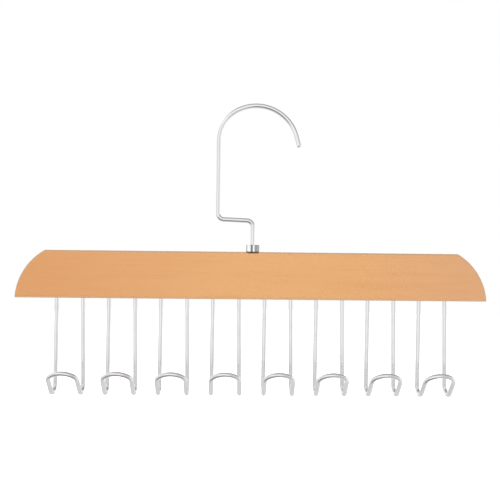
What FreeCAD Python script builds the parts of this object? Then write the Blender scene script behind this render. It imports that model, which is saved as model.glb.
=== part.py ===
import FreeCAD, Part
import math
import os
import Sketcher

# Tie hanger. A flat wooden bar hangs from a wire hook that swivels in a metal ferrule, and
# carries a row of wire loops. Each loop is one wire: two legs that stand in blind holes of
# the bar, a heel at the foot of each leg where the wire turns forwards and up, and a low arch
# that joins the two fronts. A tie hangs over the arch, between the fronts and the legs.
#
# Frame: millimetres and degrees, +Z up, +X along the bar, +Y to the back. The origin is the
# rail seat: the inner top of the hook's arc, where the hook rests on a rail.
#
# The bodies are drawn from the stem foot, the point where the hook's stem meets the bar's top.

SIZES = [
    # the bar
    ("bar_length", 382.1, "length along the lower edge"),
    ("bar_height", 38.5, "top to underside"),
    ("bar_thickness", 12.0, "front to back"),
    ("shoulder_run", 23.8, "how far each rounded end reaches in along the top"),
    ("shoulder_radius", 47.8, "radius of the rounded ends"),
    ("bar_edge_round", 2.0, "rounding along the outlines of its front and back"),
    ("bar_corner_round", 0.6, "rounding of its four corners"),
    # the wire loops
    ("loop_count", 8, "number of loops"),
    ("row_margin", 32.75, "end of the bar to the centre of the outermost leg"),
    ("loop_wire", 3.7, "diameter of the loops' wire"),
    ("leg_spacing", 21.2, "distance between the two legs of a loop, at the bar"),
    ("leg_depth", 15.0, "how deep a leg stands in the bar"),
    ("leg_glue_gap", 0.05, "radial gap round a leg, filled with glue"),
    ("leg_splay", 0.57, "angle by which each leg leans outwards below the bar"),
    ("leg_bend_radius", 100.0, "radius of the slight bend where the splay starts"),
    ("loop_drop", 75.5, "underside of the bar to the lowest point of the wire's centre line"),
    ("heel_radius", 6.0, "bend at the foot of a leg, on the centre line"),
    ("front_lean", 37.0, "angle between a leg and its front"),
    ("front_height", 15.1, "lowest point of the heel to the corner of the front"),
    ("corner_radius", 6.5, "bend where a front turns into the arch"),
    ("arch_slope", 34.0, "slope of the arch at its two ends"),
    # the hook
    ("hook_wire", 3.8, "diameter of the hook's wire"),
    ("hook_radius", 33.9, "radius of the arc over the rail, on the centre line"),
    ("hook_centre_height", 85.5, "centre of that arc above the bar's top"),
    ("rise_radius", 28.5, "bend that leads from the long arm into the arc"),
    ("rise_turn", 64.0, "angle of that bend"),
    ("tip_lean", 16.0, "angle by which the straight tip leans outwards"),
    ("tip_run", 9.4, "length of the straight tip"),
    ("arm_offset", 28.5, "long arm to the stem"),
    ("cross_height", 25.6, "cross run above the bar's top, at its lower end"),
    ("cross_slope", 2.2, "fall of the cross run towards the stem"),
    ("elbow_radius", 5.0, "two bends at the ends of the cross run"),
    ("tip_round", 1.4, "rounding of the wire's cut end"),
    ("stem_gap", 0.08, "radial running gap of the stem in the ferrule"),
    # the ferrule
    ("collar_diameter", 11.3, "visible collar on the bar"),
    ("collar_height", 5.7, "height of the collar"),
    ("collar_edge_round", 0.4, "rounding of the collar's edges"),
    ("shank_diameter", 7.0, "shank in the bar"),
    ("shank_length", 14.0, "depth of the shank"),
    ("shank_gap", 0.05, "radial gap round the shank, filled with glue"),
    # what holds the hook in the ferrule
    ("washer_side_gap", 0.55, "radial room between the washer and the bar's bore"),
    ("washer_thickness", 0.8, "thickness of the washer"),
    ("washer_bore_gap", 0.05, "radial gap between washer and wire"),
    ("swivel_play", 0.1, "axial play between the washer and the ferrule"),
    ("head_overhang", 0.9, "how far the wire's upset head stands out all round"),
    ("head_height", 2.0, "height of that head"),
    ("head_edge_cut", 0.5, "chamfer round the head's end"),
    ("head_room", 1.5, "free depth of the bar's bore under the head"),
]

# Places that several pieces share, written in terms of the sizes above. The centre of the arc
# over the rail follows from the long arm and the two radii that meet where the rise ends.
RISE_STEP = "(sizes.rise_radius - sizes.hook_radius)"
ARC_CENTRE_X = "sizes.rise_radius - sizes.arm_offset - " + RISE_STEP + " * cos(sizes.rise_turn)"
STEM_FOOT_X = "-(" + ARC_CENTRE_X + ")"
STEM_FOOT_Z = "sizes.hook_wire / 2 - sizes.hook_radius - sizes.hook_centre_height"
BAR_UNDERSIDE = "-sizes.bar_height"
HALF_LENGTH = "sizes.bar_length / 2"
HALF_TOP = "sizes.bar_length / 2 - sizes.shoulder_run"
HALF_ROW = "(sizes.bar_length / 2 - sizes.row_margin - sizes.leg_spacing / 2)"
LOOP_PITCH = "2 * " + HALF_ROW + " / (sizes.loop_count - 1)"
WASHER_TOP = "-sizes.shank_length - sizes.swivel_play"
HEAD_TOP = WASHER_TOP + " - sizes.washer_thickness"
HEAD_END = HEAD_TOP + " - sizes.head_height"
BORE_DEPTH = "-(" + HEAD_END + ") + sizes.head_room"
BORE_RADIUS = "sizes.shank_diameter / 2 + sizes.shank_gap"
STEM_BORE_RADIUS = "sizes.hook_wire / 2 + sizes.stem_gap"
WASHER_RADIUS = BORE_RADIUS + " - sizes.washer_side_gap"
HEAD_RADIUS = "sizes.hook_wire / 2 + sizes.head_overhang"

# The arch's bend takes this share of the slanted runs between the two front corners.
ARCH_SHARE = 0.95

doc = FreeCAD.newDocument("tie_hanger")


# ---------------------------------------------------------------- sizes and shared helpers

def make_sheet():
    """Writes the driving sizes into the document's spreadsheet."""
    table = doc.addObject("Spreadsheet::Sheet", "sizes")
    for row, (alias, number, meaning) in enumerate(SIZES, start=1):
        table.set("A%d" % row, alias)
        table.set("B%d" % row, str(number))
        table.set("C%d" % row, meaning)
        table.setAlias("B%d" % row, alias)
    doc.recompute()
    return table


sheet = make_sheet()


def value(expression):
    """The present value of an expression over the sizes."""
    result = sheet.evalExpression(expression)
    return float(getattr(result, "Value", result))


def place(part, x_expression, z_expression):
    """Ties a sub-part's place in the bar's middle plane to the sizes."""
    part.setExpression("Placement.Base.x", x_expression)
    part.setExpression("Placement.Base.z", z_expression)


def make_body(name):
    """A body whose own origin is the stem foot."""
    body = doc.addObject("PartDesign::Body", name)
    body.Label = name
    place(body, STEM_FOOT_X, STEM_FOOT_Z)
    return body


def make_sketch(body, name, role, height=None):
    """A sketch on one of the body's origin planes, raised by a height if one is given."""
    plane = next(item for item in body.Origin.OriginFeatures if item.Role == role)
    sketch = body.newObject("Sketcher::SketchObject", name)
    sketch.AttachmentSupport = [(plane, "")]
    sketch.MapMode = "FlatFace"
    if height:
        sketch.setExpression("AttachmentOffset.Base.z", height)
    return sketch


def dimension(sketch, name, expression, kind, *where):
    """Adds one named dimension to a sketch and ties it to the sizes."""
    number = value(expression)
    if kind == "Angle":
        number = math.radians(number)
    index = sketch.addConstraint(Sketcher.Constraint(kind, *where, number))
    sketch.renameConstraint(index, name)
    sketch.setExpression("Constraints." + name, expression)


def fix_point(sketch, name, geometry, end, across, up):
    """Dimensions one point of a sketch from its origin, across and up."""
    dimension(sketch, name + "_across", across, "DistanceX", -1, 1, geometry, end)
    dimension(sketch, name + "_up", up, "DistanceY", -1, 1, geometry, end)


def add_circle(sketch, name, radius, across="0", up="0"):
    """A circle with its radius and centre tied to the sizes."""
    centre = FreeCAD.Vector(value(across), value(up), 0)
    circle = Part.Circle(centre, FreeCAD.Vector(0, 0, 1), value(radius))
    geometry = sketch.addGeometry(circle, False)
    dimension(sketch, name + "_radius", radius, "Radius", geometry)
    fix_point(sketch, name, geometry, 3, across, up)


def add_polygon(sketch, corners):
    """A closed outline of straight lines; each corner is a pair of expressions."""
    points = [FreeCAD.Vector(value(across), value(up), 0) for across, up in corners]
    count = len(points)
    first = sketch.GeometryCount
    for index in range(count):
        line = Part.LineSegment(points[index], points[(index + 1) % count])
        sketch.addGeometry(line, False)
    for index in range(count):
        following = first + (index + 1) % count
        sketch.addConstraint(Sketcher.Constraint("Coincident", first + index, 2, following, 1))
        fix_point(sketch, "corner_%d" % (index + 1), first + index, 1, *corners[index])


def add_feature(body, kind, name, profile, **settings):
    """A feature of a body, made from one sketch."""
    feature = body.newObject("PartDesign::" + kind, name)
    feature.Profile = profile
    for key, setting in settings.items():
        setattr(feature, key, setting)
    return feature


def round_edges(body, name, base, wanted, radius):
    """Rounds the edges of a feature for which wanted(edge) holds."""
    doc.recompute()
    chosen = []
    for index, edge in enumerate(base.Shape.Edges, start=1):
        if wanted(edge):
            chosen.append("Edge%d" % index)
    fillet = body.newObject("PartDesign::Fillet", name)
    fillet.Base = (base, chosen)
    fillet.setExpression("Radius", radius)
    return fillet


# ---------------------------------------------------------------- the wooden bar

def draw_bar_outline(sketch):
    """Front view of the bar: straight top and underside, each end one arc."""
    half = value(HALF_LENGTH)
    half_top = value(HALF_TOP)
    underside = value(BAR_UNDERSIDE)
    radius = value("sizes.shoulder_radius")
    low_left = FreeCAD.Vector(-half, underside, 0)
    low_right = FreeCAD.Vector(half, underside, 0)
    top_right = FreeCAD.Vector(half_top, 0, 0)
    top_left = FreeCAD.Vector(-half_top, 0, 0)

    sketch.addGeometry(Part.LineSegment(low_left, low_right), False)
    sketch.addGeometry(bulging_arc(low_right, top_right, radius), False)
    sketch.addGeometry(Part.LineSegment(top_right, top_left), False)
    sketch.addGeometry(bulging_arc(top_left, low_left, radius), False)
    for edge in range(4):
        following = (edge + 1) % 4
        sketch.addConstraint(Sketcher.Constraint("Coincident", edge, 2, following, 1))

    fix_point(sketch, "low_left", 0, 1, "-(" + HALF_LENGTH + ")", BAR_UNDERSIDE)
    fix_point(sketch, "low_right", 0, 2, HALF_LENGTH, BAR_UNDERSIDE)
    fix_point(sketch, "top_right", 2, 1, HALF_TOP, "0")
    fix_point(sketch, "top_left", 2, 2, "-(" + HALF_TOP + ")", "0")
    dimension(sketch, "right_shoulder", "sizes.shoulder_radius", "Radius", 1)
    dimension(sketch, "left_shoulder", "sizes.shoulder_radius", "Radius", 3)


def bulging_arc(start, end, radius):
    """The shorter arc that runs anticlockwise from start to end."""
    chord = end - start
    middle = (start + end) / 2
    inwards = FreeCAD.Vector(-chord.y, chord.x, 0).normalize()
    centre = middle + inwards * math.sqrt(radius ** 2 - chord.Length ** 2 / 4)
    first = math.atan2(start.y - centre.y, start.x - centre.x)
    last = math.atan2(end.y - centre.y, end.x - centre.x)
    circle = Part.Circle(centre, FreeCAD.Vector(0, 0, 1), radius)
    return Part.ArcOfCircle(circle, first, last)


def runs_through(edge):
    """Whether an edge of the bar runs from its front to its back."""
    return abs(edge.tangentAt(edge.FirstParameter).y) > 0.5


def make_bar():
    """The bar, with its leg holes from below and the ferrule's bore from above."""
    body = make_body("bar")
    outline = make_sketch(body, "bar_outline", "XZ_Plane")
    draw_bar_outline(outline)
    slab = add_feature(body, "Pad", "bar_slab", outline, Midplane=True)
    slab.setExpression("Length", "sizes.bar_thickness")
    eased = round_edges(body, "corner_rounding", slab, runs_through, "sizes.bar_corner_round")
    round_edges(body, "bar_rounding", eased, lambda edge: not runs_through(edge), "sizes.bar_edge_round")

    legs = make_sketch(body, "leg_circles", "XY_Plane", BAR_UNDERSIDE)
    for side, sign in (("left", "-"), ("right", "+")):
        across = "-" + HALF_ROW + " " + sign + " sizes.leg_spacing / 2"
        add_circle(legs, side + "_leg", "sizes.loop_wire / 2 + sizes.leg_glue_gap", across)
    holes = add_feature(body, "Pocket", "leg_holes", legs, Reversed=True)
    holes.setExpression("Length", "sizes.leg_depth")

    row = body.newObject("PartDesign::LinearPattern", "leg_hole_row")
    row.Originals = [holes]
    row.Direction = (legs, ["H_Axis"])
    row.setExpression("Length", "2 * " + HALF_ROW)
    row.setExpression("Occurrences", "sizes.loop_count")
    body.Tip = row

    mouth = make_sketch(body, "bore_circle", "XY_Plane")
    add_circle(mouth, "bore", BORE_RADIUS)
    bore = add_feature(body, "Pocket", "ferrule_bore", mouth)
    bore.setExpression("Length", BORE_DEPTH)
    body.Tip = bore
    return body


# ---------------------------------------------------------------- the ferrule and the washer

def make_ferrule():
    """Collar on the bar's top, with a shank in the bar and a bore for the hook's stem."""
    body = make_body("ferrule")
    half_section = make_sketch(body, "ferrule_section", "XZ_Plane")
    add_polygon(half_section, [
        (STEM_BORE_RADIUS, "-sizes.shank_length"),
        ("sizes.shank_diameter / 2", "-sizes.shank_length"),
        ("sizes.shank_diameter / 2", "0"),
        ("sizes.collar_diameter / 2", "0"),
        ("sizes.collar_diameter / 2", "sizes.collar_height"),
        (STEM_BORE_RADIUS, "sizes.collar_height"),
    ])
    turned = add_feature(body, "Revolution", "ferrule_turned", half_section)
    turned.ReferenceAxis = (half_section, ["V_Axis"])
    turned.Angle = 360
    collar_radius = value("sizes.collar_diameter / 2")

    def on_collar(edge):
        curve = edge.Curve
        return isinstance(curve, Part.Circle) and abs(curve.Radius - collar_radius) < 1e-6

    round_edges(body, "collar_rounding", turned, on_collar, "sizes.collar_edge_round")
    return body


def make_washer():
    """Flat washer that keeps the hook's head from passing through the ferrule."""
    body = make_body("retaining_washer")
    ring = make_sketch(body, "washer_ring", "XY_Plane", WASHER_TOP)
    add_circle(ring, "outside", WASHER_RADIUS)
    add_circle(ring, "inside", "sizes.hook_wire / 2 + sizes.washer_bore_gap")
    plate = add_feature(body, "Pad", "washer_plate", ring, Reversed=True)
    plate.setExpression("Length", "sizes.washer_thickness")
    return body


# ---------------------------------------------------------------- the hook

def hook_route():
    """The points where the straight runs and the bends of the hook's centre line meet."""
    bend = value("sizes.elbow_radius")
    slope = math.radians(value("sizes.cross_slope"))
    arm = -value("sizes.arm_offset")
    low = FreeCAD.Vector(-bend + bend * math.sin(slope), value("sizes.cross_height"), 0)
    lower_elbow = FreeCAD.Vector(-bend, low.y - bend * math.cos(slope), 0)
    upper_centre_x = arm + bend
    high_x = upper_centre_x - bend * math.sin(slope)
    high = FreeCAD.Vector(high_x, low.y + (low.x - high_x) * math.tan(slope), 0)
    upper_elbow = FreeCAD.Vector(upper_centre_x, high.y + bend * math.cos(slope), 0)
    return bend, slope, arm, low, lower_elbow, high, upper_elbow


def arc_centres():
    """Centre of the arc over the rail, and of the bend that leads into it from the long arm."""
    turn = math.radians(value("sizes.rise_turn"))
    step = value(RISE_STEP)
    arc = FreeCAD.Vector(value(ARC_CENTRE_X), value("sizes.hook_centre_height"), 0)
    rise = arc + FreeCAD.Vector(step * math.cos(turn), -step * math.sin(turn), 0)
    return arc, rise


def tip_ends():
    """Centres of the wire where the straight tip starts and where it is cut off."""
    lean = math.radians(value("sizes.tip_lean"))
    radius = value("sizes.hook_radius")
    centre = arc_centres()[0]
    start = centre + FreeCAD.Vector(radius * math.cos(lean), radius * math.sin(lean), 0)
    down = FreeCAD.Vector(math.sin(lean), -math.cos(lean), 0)
    return start, start + down * value("sizes.tip_run")


def draw_hook_route(sketch):
    """Centre line of the hook: stem, elbow, cross run, elbow, long arm, arc and straight tip."""
    bend, slope, arm, low, lower_elbow, high, upper_elbow = hook_route()
    arc_centre, rise_centre = arc_centres()
    tip_start, tip_end = tip_ends()
    normal = FreeCAD.Vector(0, 0, 1)
    turn = math.radians(value("sizes.rise_turn"))
    lean = math.radians(value("sizes.tip_lean"))
    start = FreeCAD.Vector(0, value(HEAD_END), 0)
    stem_top = FreeCAD.Vector(0, lower_elbow.y, 0)
    arm_foot = FreeCAD.Vector(arm, upper_elbow.y, 0)
    arm_top = FreeCAD.Vector(arm, rise_centre.y, 0)

    lower_bend = Part.ArcOfCircle(Part.Circle(lower_elbow, normal, bend), 0, math.pi / 2 - slope)
    upper_bend = Part.ArcOfCircle(Part.Circle(upper_elbow, normal, bend),
                                  math.pi, 3 * math.pi / 2 - slope)
    rise_bend = Part.ArcOfCircle(Part.Circle(rise_centre, normal, value("sizes.rise_radius")),
                                 math.pi - turn, math.pi)
    great_arc = Part.ArcOfCircle(Part.Circle(arc_centre, normal, value("sizes.hook_radius")),
                                 lean, math.pi - turn)
    stem, lower, cross, upper, long_arm, rise, arc, tip = range(8)
    for piece in (Part.LineSegment(start, stem_top), lower_bend, Part.LineSegment(low, high),
                  upper_bend, Part.LineSegment(arm_foot, arm_top), rise_bend, great_arc,
                  Part.LineSegment(tip_start, tip_end)):
        sketch.addGeometry(piece, False)

    for joint in ((stem, 2, lower, 1), (lower, 2, cross, 1), (cross, 2, upper, 2),
                  (upper, 1, long_arm, 1), (long_arm, 2, rise, 2), (rise, 1, arc, 2),
                  (arc, 1, tip, 1)):
        sketch.addConstraint(Sketcher.Constraint("Tangent", *joint))
    sketch.addConstraint(Sketcher.Constraint("Vertical", stem))
    sketch.addConstraint(Sketcher.Constraint("Vertical", long_arm))

    fix_point(sketch, "wire_end", stem, 1, "0", HEAD_END)
    fix_point(sketch, "arc_centre", arc, 3, ARC_CENTRE_X, "sizes.hook_centre_height")
    dimension(sketch, "arc_radius", "sizes.hook_radius", "Radius", arc)
    dimension(sketch, "rise_bend", "sizes.rise_radius", "Radius", rise)
    dimension(sketch, "rise_end_up", "sizes.hook_radius * sin(sizes.rise_turn)",
              "DistanceY", arc, 3, arc, 2)
    dimension(sketch, "tip_start_up", "sizes.hook_radius * sin(sizes.tip_lean)",
              "DistanceY", arc, 3, arc, 1)
    dimension(sketch, "tip_length", "sizes.tip_run", "Distance", tip)
    dimension(sketch, "lower_bend", "sizes.elbow_radius", "Radius", lower)
    dimension(sketch, "upper_bend", "sizes.elbow_radius", "Radius", upper)
    dimension(sketch, "cross_end_up", "sizes.cross_height", "DistanceY", -1, 1, cross, 1)
    dimension(sketch, "cross_angle", "180 - sizes.cross_slope", "Angle", cross)


def make_hook():
    """The hook: one bent wire with an upset head at its lower end."""
    body = make_body("swivel_hook")
    route = make_sketch(body, "hook_route", "XZ_Plane")
    draw_hook_route(route)
    section = make_sketch(body, "hook_section", "XY_Plane", HEAD_END)
    add_circle(section, "wire", "sizes.hook_wire / 2")
    doc.recompute()
    wire = add_feature(body, "AdditivePipe", "hook_wire_pipe", section)
    wire.Spine = (route, ["Edge%d" % (index + 1) for index in range(route.GeometryCount)])

    doc.recompute()
    cut_end = tip_ends()[1]
    tip = FreeCAD.Vector(cut_end.x, 0, cut_end.y)

    def at_tip(edge):
        curve = edge.Curve
        return isinstance(curve, Part.Circle) and curve.Center.distanceToPoint(tip) < 1e-3

    round_edges(body, "tip_rounding", wire, at_tip, "sizes.tip_round")

    half_section = make_sketch(body, "head_section", "XZ_Plane")
    add_polygon(half_section, [
        ("0", HEAD_END),
        (HEAD_RADIUS + " - sizes.head_edge_cut", HEAD_END),
        (HEAD_RADIUS, HEAD_END + " + sizes.head_edge_cut"),
        (HEAD_RADIUS, HEAD_TOP),
        ("0", HEAD_TOP),
    ])
    head = add_feature(body, "Revolution", "upset_head", half_section)
    head.ReferenceAxis = (half_section, ["V_Axis"])
    head.Angle = 360
    return body


# ---------------------------------------------------------------- the wire loops

def bent_wire(points, radii):
    """A line through the points, with a tangent arc of the given radius at each bend."""
    edges = []
    last = points[0]
    for index in range(1, len(points) - 1):
        here = points[index]
        back = (points[index - 1] - here).normalize()
        on = (points[index + 1] - here).normalize()
        half_angle = back.getAngle(on) / 2
        reach = radii[index - 1] / math.tan(half_angle)
        middle = (back + on).normalize()
        centre = here + middle * (radii[index - 1] / math.sin(half_angle))
        start = here + back * reach
        end = here + on * reach
        edges.append(Part.LineSegment(last, start).toShape())
        edges.append(Part.Arc(start, centre - middle * radii[index - 1], end).toShape())
        last = end
    edges.append(Part.LineSegment(last, points[-1]).toShape())
    return Part.Wire(edges)


def loop_route():
    """Centre line of one loop, drawn from the bar's underside midway between its legs."""
    splay = math.radians(value("sizes.leg_splay"))
    lean = math.radians(value("sizes.front_lean"))
    slope = math.radians(value("sizes.arch_slope"))
    heel = value("sizes.heel_radius")
    corner = value("sizes.corner_radius")
    leg_x = value("sizes.leg_spacing / 2")
    bend_z = -value("sizes.leg_bend_radius") * math.tan(splay / 2)
    lowest = -value("sizes.loop_drop")

    leg_top = FreeCAD.Vector(leg_x, 0, value("sizes.leg_depth"))
    leg_bend = FreeCAD.Vector(leg_x, 0, bend_z)
    foot_z = lowest + heel - heel / math.tan(lean / 2)
    foot = FreeCAD.Vector(leg_x + (bend_z - foot_z) * math.tan(splay), 0, foot_z)
    rise = (lowest + value("sizes.front_height") - foot_z) / math.cos(lean)
    front = FreeCAD.Vector(-math.sin(splay) * math.cos(lean), -math.sin(lean), math.cos(lean))
    front_corner = foot + front * rise
    up_the_front = FreeCAD.Vector(0, -math.sin(lean), math.cos(lean))
    crown = FreeCAD.Vector(0, front_corner.y, front_corner.z)
    crown += up_the_front * (front_corner.x * math.tan(slope))

    corner_turn = (foot - front_corner).getAngle(crown - front_corner)
    arch_run = (crown - front_corner).Length - corner / math.tan(corner_turn / 2)
    arch_radius = ARCH_SHARE * arch_run / math.tan(slope)

    half = [leg_top, leg_bend, foot, front_corner]
    mirrored = [FreeCAD.Vector(-point.x, point.y, point.z) for point in half]
    radii = [value("sizes.leg_bend_radius"), heel, corner]
    return bent_wire(mirrored + [crown] + half[::-1], radii + [arch_radius] + radii[::-1])


def make_loops():
    """All the loops, each a circle swept along the same route."""
    route = doc.addObject("Part::Feature", "loop_route")
    route.Shape = loop_route()
    section = doc.addObject("Part::Circle", "loop_section")
    section.setExpression("Radius", "sizes.loop_wire / 2")
    section.setExpression("Placement.Base.x", "-sizes.leg_spacing / 2")
    section.setExpression("Placement.Base.z", "sizes.leg_depth")
    doc.recompute()
    runs = ["Edge%d" % (index + 1) for index in range(len(route.Shape.Edges))]

    loops = []
    for number in range(1, int(value("sizes.loop_count")) + 1):
        name = "wire_loop_%d" % number
        loop = doc.addObject("Part::Sweep", name)
        loop.Label = name
        loop.Sections = [section]
        loop.Spine = (route, runs)
        loop.Solid = True
        along = "%s - %s + %d * %s" % (STEM_FOOT_X, HALF_ROW, number - 1, LOOP_PITCH)
        place(loop, along, STEM_FOOT_Z + " - sizes.bar_height")
        loops.append(loop)
    return loops


# ---------------------------------------------------------------- building and writing

def check(parts):
    """Stops if any object failed, or if a sub-part isn't one valid solid."""
    for item in doc.Objects:
        if "Invalid" in item.State or "Error" in item.State:
            raise RuntimeError("failed object: " + item.Label)
        if item.TypeId == "PartDesign::Pocket" and item.Shape.Volume >= item.BaseFeature.Shape.Volume:
            raise RuntimeError("nothing was cut: " + item.Label)
    for part in parts:
        shape = part.Shape
        if shape.isNull() or not shape.isValid() or len(shape.Solids) != 1:
            raise RuntimeError("unsound shape: " + part.Label)


def main():
    """Builds every sub-part and writes each one to its own file."""
    parts = [make_bar(), make_ferrule(), make_washer(), make_hook()] + make_loops()
    doc.recompute()
    check(parts)
    os.makedirs("parts", exist_ok=True)
    for part in parts:
        part.Shape.exportStep("parts/" + part.Label + ".step")
        print("%-17s %9.1f cubic mm" % (part.Label, part.Shape.Volume))


main()
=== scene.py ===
"""Looks of the tie hanger: the finish of every piece, a pale studio and the camera.

Lengths are in metres, in the model's own frame: the rail sits at the origin, X runs along the bar,
the loops' fronts face -Y and Z is up.
"""

import math

import bmesh
import bpy
from mathutils import Matrix, Quaternion, Vector


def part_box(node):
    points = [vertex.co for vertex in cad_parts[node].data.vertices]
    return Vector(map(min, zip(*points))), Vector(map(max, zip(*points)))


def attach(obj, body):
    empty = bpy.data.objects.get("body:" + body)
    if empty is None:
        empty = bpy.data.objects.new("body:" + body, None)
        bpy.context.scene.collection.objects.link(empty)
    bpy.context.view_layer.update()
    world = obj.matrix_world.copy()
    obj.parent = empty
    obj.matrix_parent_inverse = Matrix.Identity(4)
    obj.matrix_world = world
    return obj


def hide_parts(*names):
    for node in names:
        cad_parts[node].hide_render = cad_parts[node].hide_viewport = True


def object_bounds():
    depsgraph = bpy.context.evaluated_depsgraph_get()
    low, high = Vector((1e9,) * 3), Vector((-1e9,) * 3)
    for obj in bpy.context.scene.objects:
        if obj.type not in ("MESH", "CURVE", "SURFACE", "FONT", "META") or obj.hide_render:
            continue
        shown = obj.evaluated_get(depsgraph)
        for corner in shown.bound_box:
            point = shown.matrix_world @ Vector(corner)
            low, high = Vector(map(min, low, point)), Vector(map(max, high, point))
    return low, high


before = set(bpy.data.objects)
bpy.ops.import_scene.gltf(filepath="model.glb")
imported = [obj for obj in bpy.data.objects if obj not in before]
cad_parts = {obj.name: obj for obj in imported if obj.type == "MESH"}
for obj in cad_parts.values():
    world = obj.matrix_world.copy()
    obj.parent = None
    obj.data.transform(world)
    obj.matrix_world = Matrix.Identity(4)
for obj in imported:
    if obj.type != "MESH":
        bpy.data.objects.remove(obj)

CAD_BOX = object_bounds()
MM = 0.001

# ---------------------------------------------------------------- node graphs


class Graph:
    """A material's or world's node tree, written one node at a time."""

    def __init__(self, tree):
        self.tree = tree
        tree.nodes.clear()

    def add(self, kind, settings=None, **inputs):
        """A node of that kind. An input is a value or another node's socket, by its name in lower case."""
        node = self.tree.nodes.new(kind)
        for name, value in (settings or {}).items():
            setattr(node, name, value)
        for name, value in inputs.items():
            self.feed(node, name, value)
        return node

    def feed(self, node, name, value):
        self.put(find_socket(node, name), value)

    def put(self, socket, value):
        """Links another node's socket to an input, or sets the input to a plain value."""
        if isinstance(value, bpy.types.NodeSocket):
            self.tree.links.new(value, socket)
        else:
            socket.default_value = value

    def math(self, operation, *values):
        node = self.add("ShaderNodeMath", {"operation": operation})
        for socket, value in zip(node.inputs, values):
            self.put(socket, value)
        return node.outputs["Value"]

    def vector_math(self, operation, *values):
        """The outputs of a vector operation, which gives its answer as Vector or as Value."""
        node = self.add("ShaderNodeVectorMath", {"operation": operation})
        for socket, value in zip(node.inputs, values):
            self.put(socket, value)
        return node.outputs

    def bump(self, strength, distance, height):
        node = self.add("ShaderNodeBump", strength=strength, distance=distance, height=height)
        return node.outputs["Normal"]

    def between(self, value, low, high, low_to=0.0, high_to=1.0):
        """value, led smoothly from low..high to low_to..high_to."""
        node = self.add("ShaderNodeMapRange", {"interpolation_type": "SMOOTHSTEP"}, value=value)
        self.feed(node, "from_min", low)
        self.feed(node, "from_max", high)
        self.feed(node, "to_min", low_to)
        self.feed(node, "to_max", high_to)
        return node.outputs["Result"]

    def noise(self, where, scale, detail=3.0, roughness=0.5, distortion=0.0):
        node = self.add("ShaderNodeTexNoise", vector=where, scale=scale, detail=detail)
        self.feed(node, "roughness", roughness)
        self.feed(node, "distortion", distortion)
        return node.outputs["Fac"]

    def stretched(self, where, scale):
        node = self.add("ShaderNodeMapping", vector=where, scale=scale)
        return node.outputs["Vector"]

    def blend(self, kind, factor, a, b):
        """Two colours mixed: kind is MIX, MULTIPLY and so on."""
        node = self.add("ShaderNodeMix", {"data_type": "RGBA", "blend_type": kind})
        first, second = (socket for socket in node.inputs if socket.type == "RGBA")
        self.put(node.inputs[0], factor)
        self.put(first, a)
        self.put(second, b)
        return next(socket for socket in node.outputs if socket.type == "RGBA")


def find_socket(node, name):
    """An input by its name, in lower case with _ for a space."""
    for socket in node.inputs:
        if socket.name.lower().replace(" ", "_") == name:
            return socket
    raise KeyError(f"{node.bl_idname} has no input {name}")


def linear(red, green, blue):
    """A colour given as 0 to 255 on a screen, as the shaders take it."""
    channels = [c / 255 for c in (red, green, blue)]
    return [c / 12.92 if c <= 0.04045 else ((c + 0.055) / 1.055) ** 2.4 for c in channels] + [1.0]


def new_material(name):
    material = bpy.data.materials.new(name)
    material.use_nodes = True
    return material, Graph(material.node_tree)


def finish_material(graph, shader):
    graph.add("ShaderNodeOutputMaterial", surface=shader.outputs[0])


# ---------------------------------------------------------------- materials

WOOD_COLOUR = (236, 174, 112)
# The next two are painted shade towards the bar's ends: darker and redder at the left, duller at the
# right.
WOOD_LEFT_SHADE = (226, 160, 99)
WOOD_RIGHT_SHADE = (228, 170, 119)
WOOD_DARK = (222, 155, 93)
# The next two are painted light on the bar's rounded edges: shade on the upper ones, light on the lower
# ones.
WOOD_EDGE_SHADE = (206, 166, 126)
WOOD_LOW_EDGE_LIGHT = (234, 194, 152)
WOOD_FLECK = (188, 134, 90)
# A painted contact shadow round the ferrule's foot.
WOOD_FOOT_SHADOW = (112, 78, 50)

# How much finer the wood's pattern is across the bar than along it.
STREAK_STRETCH = (1.0, 26.0, 26.0)
BAND_STRETCH = (1.0, 7.0, 9.0)
PORE_STRETCH = (1.0, 12.0, 12.0)

# The metals' two tones, clean and dulled, as the shaders take them.
WIRE_TONES = (0.83, 0.83, 0.84, 1), (0.76, 0.76, 0.775, 1)
FERRULE_TONES = (0.98, 0.98, 0.985, 1), (0.93, 0.93, 0.94, 1)
WASHER_TONES = (0.50, 0.49, 0.47, 1), (0.34, 0.31, 0.27, 1)


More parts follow.
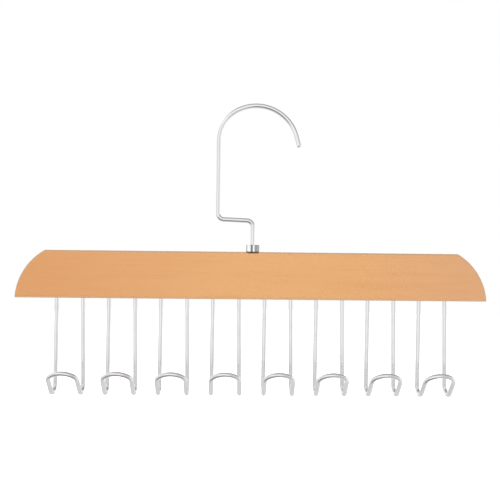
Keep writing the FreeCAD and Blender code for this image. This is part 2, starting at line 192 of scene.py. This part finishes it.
def varnished_wood():
    """Pale straight-grained wood under a clear satin varnish. The grain runs along the bar."""
    material, g = new_material("varnished_wood")
    spot = g.add("ShaderNodeTexCoord")
    where = spot.outputs["Object"]
    along_grain = g.stretched(where, STREAK_STRETCH)
    streaks = g.noise(along_grain, 22.0, detail=6.0, roughness=0.62, distortion=0.25)
    bands = g.noise(g.stretched(where, BAND_STRETCH), 9.0, detail=2.0)
    pores = g.noise(g.stretched(where, PORE_STRETCH), 260.0, detail=1.0)
    fleck = g.between(pores, 0.66, 0.74)
    tone = g.math("ADD", g.math("MULTIPLY", streaks, 0.55), g.math("MULTIPLY", bands, 0.45))
    darker = g.between(tone, 0.42, 0.66)
    body = g.blend("MIX", g.math("MULTIPLY", darker, 0.35), wood_colour_with_end_shade(g, where), linear(*WOOD_DARK))
    flecked = g.blend("MIX", g.math("MULTIPLY", fleck, 0.22), body, linear(*WOOD_FLECK))
    normal = g.add("ShaderNodeSeparateXYZ", vector=spot.outputs["Normal"])
    edge = edge_mask(g, normal.outputs["Y"])
    # Painted light: the upper rounded edges are painted darker and greyer as shade, and the lower ones
    # paler as light, a little unevenly along the grain's bands.
    downwards = g.between(normal.outputs["Z"], -0.6, -0.1, 1.0, 0.0)
    painted_edge_colour = g.blend("MIX", downwards, linear(*WOOD_EDGE_SHADE), linear(*WOOD_LOW_EDGE_LIGHT))
    edge_shading = g.math("MULTIPLY", edge, g.between(bands, 0.3, 0.7, 0.7, 1.0))
    shaded_edges = g.blend("MIX", edge_shading, flecked, painted_edge_colour)
    # A painted contact shadow, dark brown, round the foot of the ferrule.
    colour = g.blend("MIX", foot_shadow_mask(g, where), shaded_edges, linear(*WOOD_FOOT_SHADOW))
    grain_height = g.math("SUBTRACT", g.math("MULTIPLY", streaks, 0.5), fleck)
    varnish_height = g.noise(where, 420.0, detail=1.0)
    shader = g.add(
        "ShaderNodeBsdfPrincipled",
        base_color=colour,
        roughness=g.between(streaks, 0.3, 0.7, 0.42, 0.52),
        normal=g.bump(0.12, 0.06 * MM, grain_height),
        coat_weight=0.35,
        coat_roughness=0.22,
        coat_normal=g.bump(0.10, 0.03 * MM, varnish_height),
    )
    finish_material(g, shader)
    return material


def wood_colour_with_end_shade(g, where):
    """The wood's colour, with painted shade towards the ends: it turns a little darker and redder to the
    left and duller to the right.
    """
    low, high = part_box("bar")
    middle = (low.x + high.x) / 2
    along = g.add("ShaderNodeSeparateXYZ", vector=where).outputs["X"]
    leftwards = g.between(along, low.x, middle, 1.0, 0.0)
    rightwards = g.between(along, middle + 0.4 * (high.x - middle), high.x)
    left_shaded = g.blend("MIX", leftwards, linear(*WOOD_COLOUR), linear(*WOOD_LEFT_SHADE))
    return g.blend("MIX", rightwards, left_shaded, linear(*WOOD_RIGHT_SHADE))


def foot_shadow_mask(g, where):
    """1 close round the foot of the ferrule, where a contact shadow is painted on the wood under the
    collar.
    """
    low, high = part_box("ferrule")
    collar = (high.x - low.x) / 2
    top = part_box("bar")[1].z
    foot = ((low.x + high.x) / 2, 0, top)
    away = g.vector_math("SUBTRACT", where, foot)["Vector"]
    flat = g.stretched(away, (1.0, 0.75, 0.0))
    reach = g.vector_math("LENGTH", flat)["Value"]
    height = g.add("ShaderNodeSeparateXYZ", vector=where).outputs["Z"]
    near = g.between(reach, collar + 0.1 * MM, collar + 0.9 * MM, 1.0, 0.0)
    high_up = g.between(height, top - 1.7 * MM, top - 0.6 * MM)
    return g.math("MULTIPLY", near, high_up)


def edge_mask(g, frontwards):
    """1 on the rounded edges between the bar's faces and its rim, and 0 on both."""
    facing = g.math("ABSOLUTE", frontwards)
    off_rim = g.between(facing, 0.02, 0.35)
    off_face = g.between(facing, 0.90, 0.999, 1.0, 0.0)
    return g.math("MULTIPLY", off_rim, off_face)


def metal(g, colour, roughness, normal):
    """A bare or plated metal's shader."""
    return g.add(
        "ShaderNodeBsdfPrincipled",
        base_color=colour,
        metallic=1.0,
        roughness=roughness,
        normal=normal,
    )


def chromed_wire():
    """Bright chrome on drawn wire: faint smudges, and a hair of unevenness under the plating."""
    material, g = new_material("chromed_wire")
    where = g.add("ShaderNodeTexCoord").outputs["Object"]
    smudges = g.noise(where, 90.0, detail=4.0)
    fine = g.noise(where, 900.0, detail=2.0)
    roughness = g.between(smudges, 0.35, 0.7, 0.09, 0.17)
    dulled = g.between(smudges, 0.45, 0.75, 0.0, 0.5)
    colour = g.blend("MIX", dulled, *WIRE_TONES)
    finish_material(g, metal(g, colour, roughness, g.bump(0.05, 0.02 * MM, fine)))
    return material


# The ferrule's colour has painted reflections of darker surroundings: duller streaks along its axis.
# Each is an angle round the axis, in degrees from the front towards +X, how far it is full and how far it
# reaches, and its tone.
REFLECTION_STREAKS = (
    (-60, 5, 11, 0.40),
    (-9, 6.5, 12.5, 0.21),
    (56, 33, 42, 0.40),
    (140, 8, 20, 0.70),
    (-140, 10, 24, 0.75),
)


def painted_reflection_tone(g, where):
    """The painted reflections' tone round the ferrule's axis: darker in streaks, 1 between them."""
    low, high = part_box("ferrule")
    spot = g.add("ShaderNodeSeparateXYZ", vector=where).outputs
    across = g.math("SUBTRACT", spot["X"], (low.x + high.x) / 2)
    angle = g.math("ARCTAN2", across, g.math("MULTIPLY", spot["Y"], -1.0))
    degrees = g.math("MULTIPLY", angle, math.degrees(1))
    tone = 1.0
    for centre, full, reach, level in REFLECTION_STREAKS:
        away = g.math("ABSOLUTE", g.math("SUBTRACT", degrees, centre))
        tone = g.math("MULTIPLY", g.between(away, full, reach, level, 1.0), tone)
    return tone


def chromed_ferrule():
    """Turned and plated collar: faint rings round its axis, and painted reflections as duller streaks
    along it.
    """
    material, g = new_material("chromed_ferrule")
    where = g.add("ShaderNodeTexCoord").outputs["Object"]
    round_axis = g.stretched(where, (0.02, 0.02, 1.0))
    rings = g.noise(round_axis, 2600.0, detail=2.0)
    smudges = g.noise(where, 160.0, detail=3.0)
    roughness = g.between(smudges, 0.35, 0.7, 0.05, 0.11)
    plating = g.blend("MIX", rings, *FERRULE_TONES)
    # The plating is darkened by the painted reflections.
    colour = g.blend("MULTIPLY", 1.0, plating, painted_reflection_tone(g, where))
    finish_material(g, metal(g, colour, roughness, g.bump(0.04, 0.03 * MM, rings)))
    return material


def washer_steel():
    """Bare stamped steel, duller than the chrome and a little stained."""
    material, g = new_material("washer_steel")
    where = g.add("ShaderNodeTexCoord").outputs["Object"]
    stains = g.noise(where, 500.0, detail=4.0)
    grit = g.noise(where, 4000.0, detail=2.0)
    roughness = g.between(stains, 0.3, 0.7, 0.28, 0.5)
    colour = g.blend("MIX", g.between(stains, 0.4, 0.7), *WASHER_TONES)
    finish_material(g, metal(g, colour, roughness, g.bump(0.2, 0.02 * MM, grit)))
    return material


def dress(nodes):
    """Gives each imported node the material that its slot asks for, and returns them all by name."""
    makers = (varnished_wood, chromed_wire, chromed_ferrule, washer_steel)
    materials = {maker.__name__: maker() for maker in makers}
    for node in nodes.values():
        for slot in node.material_slots:
            slot.material = materials[slot.material.name.split(".")[0]]
    return materials


# ---------------------------------------------------------------- the wires

# Bright chrome shows every facet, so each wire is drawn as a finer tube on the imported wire's own
# centre line. Lengths here are in millimetres and angles in degrees.
WIRE_SIDES = 36
BEND_STEP = 2.0
SHARP_ANGLE = 35.0
END_STEPS = 8            # rings in the rounding of the tip
TUBE_SHY = 0.01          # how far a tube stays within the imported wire's surface

HOOK_WIRE = 3.8
ARM_OFFSET = 28.5
CROSS_HEIGHT = 25.6
CROSS_SLOPE = 2.2
ELBOW_RADIUS = 5.0
RISE_RADIUS = 28.5
RISE_TURN = 64.0
ARC_RADIUS = 33.9
ARC_HEIGHT = 85.5
TIP_LEAN = 16.0
TIP_RUN = 9.4
TIP_ROUND = 1.4
HEAD_OVERHANG = 0.9
HEAD_HEIGHT = 2.0
HEAD_EDGE_CUT = 0.5

LOOP_WIRE = 3.7
LEG_SPACING = 21.2
LEG_SPLAY = 0.57
LEG_BEND_RADIUS = 100.0
LOOP_DROP = 75.5
HEEL_RADIUS = 6.0
FRONT_LEAN = 37.0
FRONT_HEIGHT = 15.1
CORNER_RADIUS = 6.5
ARCH_SLOPE = 34.0
ARCH_SHARE = 0.95


def bent_line(corners, radii, wire_radius):
    """Rings along a wire through the corners, with a round bend at each one between its ends.
    A ring is its centre, its heading and its radius."""
    outgoing = (corners[1] - corners[0]).normalized()
    rings = [(corners[0], outgoing, wire_radius)]
    for before, corner, after, radius in zip(corners, corners[1:], corners[2:], radii):
        incoming = (corner - before).normalized()
        outgoing = (after - corner).normalized()
        turn = incoming.angle(outgoing)
        axis = incoming.cross(outgoing).normalized()
        inwards = axis.cross(incoming)
        centre = corner - incoming * radius * math.tan(turn / 2) + inwards * radius
        steps = math.ceil(math.degrees(turn) / BEND_STEP)
        for step in range(steps + 1):
            spin = Quaternion(axis, turn * step / steps)
            rings.append((centre - spin @ inwards * radius, spin @ incoming, wire_radius))
    rings.append((corners[-1], outgoing, wire_radius))
    return rings


def hook_rings(foot):
    """The hook from its upset head, up the stem, over the cross run, the long arm and the arc."""
    slope, turn, lean = (math.radians(angle) for angle in (CROSS_SLOPE, RISE_TURN, TIP_LEAN))
    step = RISE_RADIUS - ARC_RADIUS
    arc = Vector((RISE_RADIUS - ARM_OFFSET - step * math.cos(turn), 0, ARC_HEIGHT))
    rise_height = ARC_HEIGHT - step * math.sin(turn)
    cross_end = -ELBOW_RADIUS * (1 - math.sin(slope))
    half_arc = (math.pi - turn - lean) / 2
    middle = lean + half_arc
    head_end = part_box("swivel_hook")[0].z / MM - foot.z
    head_top = head_end + HEAD_HEIGHT
    tip_start = arc + Vector((math.cos(lean), 0, math.sin(lean))) * ARC_RADIUS
    tip = tip_start + Vector((math.sin(lean), 0, -math.cos(lean))) * TIP_RUN
    wire = HOOK_WIRE / 2 - TUBE_SHY
    corners = [
        Vector((0, 0, head_top)),
        Vector((0, 0, CROSS_HEIGHT + cross_end * math.tan(slope))),
        Vector((-ARM_OFFSET, 0, CROSS_HEIGHT + (cross_end + ARM_OFFSET) * math.tan(slope))),
        Vector((-ARM_OFFSET, 0, rise_height + RISE_RADIUS * math.tan(turn / 2))),
        arc + Vector((math.cos(middle), 0, math.sin(middle))) * ARC_RADIUS / math.cos(half_arc),
        tip,
    ]
    radii = [ELBOW_RADIUS, ELBOW_RADIUS, RISE_RADIUS, ARC_RADIUS]
    up = Vector((0, 0, 1))
    head = wire + HEAD_OVERHANG
    rings = [
        (up * head_end, up, head - HEAD_EDGE_CUT),
        (up * (head_end + HEAD_EDGE_CUT), up, head),
        (up * head_top, up, head),
    ]
    rings += rounded_end(bent_line(corners, radii, wire), TIP_ROUND)
    return [(foot + centre, heading, radius) for centre, heading, radius in rings]


def rounded_end(rings, rounding):
    """The same rings, with the edge of the last one rounded off."""
    end, heading, radius = rings[-1]
    curve = []
    for step in range(END_STEPS + 1):
        angle = math.pi / 2 * step / END_STEPS
        centre = end - heading * rounding * (1 - math.sin(angle))
        curve.append((centre, heading, radius - rounding * (1 - math.cos(angle))))
    return rings[:-1] + curve


def loop_rings(top_middle, depth):
    """One loop from leg to leg. It is drawn from the middle between its legs, at the underside."""
    splay, lean, slope = (math.radians(angle) for angle in (LEG_SPLAY, FRONT_LEAN, ARCH_SLOPE))
    leg = LEG_SPACING / 2
    bend_z = -LEG_BEND_RADIUS * math.tan(splay / 2)
    foot_z = -LOOP_DROP + HEEL_RADIUS - HEEL_RADIUS / math.tan(lean / 2)
    foot = Vector((leg + (bend_z - foot_z) * math.tan(splay), 0, foot_z))
    rise = (FRONT_HEIGHT - LOOP_DROP - foot_z) / math.cos(lean)
    front = foot + rise * Vector((-math.sin(splay) * math.cos(lean), -math.sin(lean), math.cos(lean)))
    crown = Vector((0, front.y, front.z))
    crown += Vector((0, -math.sin(lean), math.cos(lean))) * front.x * math.tan(slope)
    turn = (foot - front).angle(crown - front)
    arch_run = (crown - front).length - CORNER_RADIUS / math.tan(turn / 2)
    half = [Vector((leg, 0, depth)), Vector((leg, 0, bend_z)), foot, front]
    mirrored = [Vector((-point.x, point.y, point.z)) for point in half]
    radii = [LEG_BEND_RADIUS, HEEL_RADIUS, CORNER_RADIUS]
    arch_radius = ARCH_SHARE * arch_run / math.tan(slope)
    wire = LOOP_WIRE / 2 - TUBE_SHY
    rings = bent_line(mirrored + [crown] + half[::-1], radii + [arch_radius] + radii[::-1], wire)
    return [(top_middle + centre, heading, radius) for centre, heading, radius in rings]


def draw_tube(name, rings, material):
    """A closed tube through the rings, which are in millimetres."""
    shape = bmesh.new()
    heading = rings[0][1]
    side = heading.orthogonal().normalized()
    drawn = []
    for centre, direction, radius in rings:
        side = heading.rotation_difference(direction) @ side
        heading = direction
        other = heading.cross(side)
        ring = []
        for index in range(WIRE_SIDES):
            angle = 2 * math.pi * index / WIRE_SIDES
            spoke = side * math.cos(angle) + other * math.sin(angle)
            ring.append(shape.verts.new((centre + spoke * radius) * MM))
        drawn.append(ring)
    for low, high in zip(drawn, drawn[1:]):
        for index in range(WIRE_SIDES):
            after = (index + 1) % WIRE_SIDES
            shape.faces.new((low[index], low[after], high[after], high[index]))
    shape.faces.new(drawn[0][::-1])
    shape.faces.new(drawn[-1])
    mesh = bpy.data.meshes.new(name)
    shape.to_mesh(mesh)
    shape.free()
    mesh.shade_smooth()
    mesh.set_sharp_from_angle(angle=math.radians(SHARP_ANGLE))
    mesh.materials.append(material)
    piece = bpy.data.objects.new(name, mesh)
    bpy.context.scene.collection.objects.link(piece)
    return piece


def draw_wires(material):
    """The hook and the loops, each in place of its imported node."""
    low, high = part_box("ferrule")
    foot = Vector(((low.x + high.x) / 2, 0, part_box("bar")[1].z)) / MM
    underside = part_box("bar")[0].z / MM
    wires = {"swivel_hook": ("hook", hook_rings(foot))}
    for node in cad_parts:
        if node.startswith("wire_loop_"):
            low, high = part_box(node)
            middle = Vector(((low.x + high.x) / 2 / MM, 0, underside))
            wires[node] = ("hanger", loop_rings(middle, high.z / MM - underside))
    for node, (body, rings) in wires.items():
        piece = draw_tube(node + "_tube", rings, material)
        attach(piece, body)
        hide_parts(node)


# ---------------------------------------------------------------- studio

WHITE = (1, 1, 1, 1)
FLOOR_GREY = (0.86, 0.86, 0.86, 1)
FLOOR_DROP = 0.25        # from the object's lowest point
FLOOR_RADIUS = 3.0
FLOOR_SIDES = 96
SHADOW_CORE = 0.32       # the floor shows its own grey within this reach
SHADOW_REACH = 0.8       # and the backdrop's white past this one
FLOOR_LIFT = 0.3         # the share of that white near the object
WORLD_DIFFUSE = 0.65     # the world's level for all that isn't a mirror

# The lamps: name, place, width and height in metres, and watts. Metal doesn't mirror them.
LAMPS = (
    ("key_lamp", (0.25, -1.2, 1.0), (2.0, 1.2), 8.2),
    ("fill_lamp", (-1.2, -0.9, 0.3), (0.9, 0.9), 2.0),
    ("low_lamp", (0.0, -0.9, -0.42), (1.2, 0.3), 1.0),
    ("back_lamp", (0.1, 1.2, -0.05), (1.6, 0.8), 3.6),
)

# What metal sees: the room's level, and places in it. Each is a direction, its outer and inner
# angle in degrees, the level inside it, and how many times wider than high it is.
ROOM_LEVEL = 1.08
ROOM_PATCHES = (
    ((0.3, 0.1, 1), 68, 34, 0.44, 1),
    ((0, 0.5, -0.87), 60, 40, 0.73, 1),
    ((-0.33, -0.62, -0.70), 40, 25, 0.30, 1),
    ((0.45, -0.6, -0.66), 32, 16, 0.55, 1),
    ((-0.9, 0.15, -0.38), 34, 18, 0.72, 1),
    ((0.82, 0.2, 0.62), 27, 10, 0.48, 1),
    ((0.64, -0.77, 0), 34, 16, 0.68, 1),
    ((-0.84, -0.48, 0.26), 30, 12, 0.74, 1),
    ((0, 1, -0.1), 78, 58, 1.02, 3),
    ((-0.95, -0.2, 0), 50, 40, 1.25, 80),
    ((0.2, -0.98, 0), 12, 6, 1.25, 14),
)


def make_floor():
    """A pale floor well under the hanging object. It keeps the shadow near the object and turns to
    the backdrop's white further out."""
    bpy.ops.mesh.primitive_circle_add(vertices=FLOOR_SIDES, radius=FLOOR_RADIUS, fill_type="NGON")
    floor = bpy.context.object
    floor.name = "floor"
    floor.location = (0, 0, CAD_BOX[0].z - FLOOR_DROP)
    material, g = new_material("pale_floor")
    where = g.add("ShaderNodeTexCoord").outputs["Object"]
    reach = g.vector_math("LENGTH", where)["Value"]
    far = g.between(reach, SHADOW_CORE, SHADOW_REACH, FLOOR_LIFT, 1.0)
    straight, glossy = seen_rays(g)
    glow = g.math("MULTIPLY", g.math("MAXIMUM", straight, glossy), far)
    matt = g.add("ShaderNodeBsdfDiffuse", color=FLOOR_GREY)
    white = g.add("ShaderNodeEmission", color=WHITE, strength=glow)
    both = g.add("ShaderNodeAddShader")
    g.put(both.inputs[0], matt.outputs[0])
    g.put(both.inputs[1], white.outputs[0])
    finish_material(g, both)
    floor.data.materials.append(material)
    floor.visible_glossy = False


def seen_rays(g):
    """1 for the rays that show the background straight or through glass, and for mirrored ones."""
    light = g.add("ShaderNodeLightPath").outputs
    straight = g.math("MAXIMUM", light["Is Camera Ray"], light["Is Transmission Ray"])
    return straight, light["Is Glossy Ray"]


def make_world():
    """White behind the object. Metal sees a pale room of its own, with greyer and brighter places
    in it, which is a little brighter than that white."""
    world = bpy.data.worlds.new("studio")
    bpy.context.scene.world = world
    world.use_nodes = True
    g = Graph(world.node_tree)
    way = g.add("ShaderNodeTexCoord").outputs["Generated"]
    room = ROOM_LEVEL
    for place in ROOM_PATCHES:
        room = g.math("MULTIPLY", room, patch(g, way, *place))
    straight, glossy = seen_rays(g)
    mirrored = g.math("MULTIPLY", glossy, g.math("SUBTRACT", room, WORLD_DIFFUSE))
    level = g.math("ADD", mirrored, WORLD_DIFFUSE)
    strength = g.math("MULTIPLY_ADD", straight, g.math("SUBTRACT", 1.0, level), level)
    lit = g.add("ShaderNodeBackground", color=WHITE, strength=strength)
    g.add("ShaderNodeOutputWorld", surface=lit.outputs[0])


def patch(g, way, towards, outer, inner, level, flatness):
    """level in the part of the room around a direction, and 1 past its outer angle in degrees."""
    squeezed = g.stretched(way, (1.0, 1.0, flatness))
    unit = g.vector_math("NORMALIZE", squeezed)["Vector"]
    nearness = g.vector_math("DOT_PRODUCT", unit, Vector(towards).normalized())["Value"]
    edges = (math.cos(math.radians(outer)), math.cos(math.radians(inner)))
    return g.between(nearness, *edges, 1.0, level)


def add_lamp(name, place, size, watts, target):
    """A soft rectangular lamp that faces its target and isn't mirrored in metal."""
    data = bpy.data.lights.new(name, "AREA")
    data.shape = "RECTANGLE"
    data.size, data.size_y = size
    data.energy = watts
    lamp = bpy.data.objects.new(name, data)
    bpy.context.scene.collection.objects.link(lamp)
    lamp.location = place
    lamp.rotation_mode = "QUATERNION"
    lamp.rotation_quaternion = (Vector(target) - Vector(place)).to_track_quat("-Z", "Y")
    lamp.visible_glossy = False


def light_studio():
    middle = (CAD_BOX[0] + CAD_BOX[1]) / 2
    for lamp in LAMPS:
        add_lamp(*lamp, middle)


# ---------------------------------------------------------------- camera

CAMERA_DISTANCE = 450 * MM
CAMERA_LEFT_OF_HOOK = 20.2 * MM
CAMERA_SHIFT = 0.0245
CAMERA_OVER_BAR = 1.48 * MM
CAMERA_NEAR = 10 * MM
CAMERA_YAW = -1.04       # degrees, as is the roll
CAMERA_ROLL = -0.62
LENS_LENGTH = 39.69      # millimetres, as is the sensor
SENSOR_WIDTH = 36.0


def place_camera():
    """Level with the bar's top, a little left of the middle and turned a degree to the right."""
    low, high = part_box("ferrule")
    stem_x = (low.x + high.x) / 2
    bar_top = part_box("bar")[1].z
    place = Vector((stem_x - CAMERA_LEFT_OF_HOOK, -CAMERA_DISTANCE, bar_top + CAMERA_OVER_BAR))
    data = bpy.data.cameras.new("camera")
    data.lens = LENS_LENGTH
    data.sensor_width = SENSOR_WIDTH
    data.shift_x = CAMERA_SHIFT
    data.clip_start = CAMERA_NEAR
    camera = bpy.data.objects.new("camera", data)
    bpy.context.scene.collection.objects.link(camera)
    yaw = Matrix.Rotation(math.radians(CAMERA_YAW), 4, "Z")
    roll = Matrix.Rotation(math.radians(CAMERA_ROLL), 4, "Y")
    level = Matrix.Rotation(math.radians(90), 4, "X")
    camera.matrix_world = Matrix.Translation(place) @ yaw @ roll @ level
    bpy.context.scene.camera = camera


# ---------------------------------------------------------------- the scene


finishes = dress(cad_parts)
draw_wires(finishes["chromed_wire"])
make_floor()
make_world()
light_studio()
place_camera()
bpy.context.scene.view_settings.view_transform = "Standard"
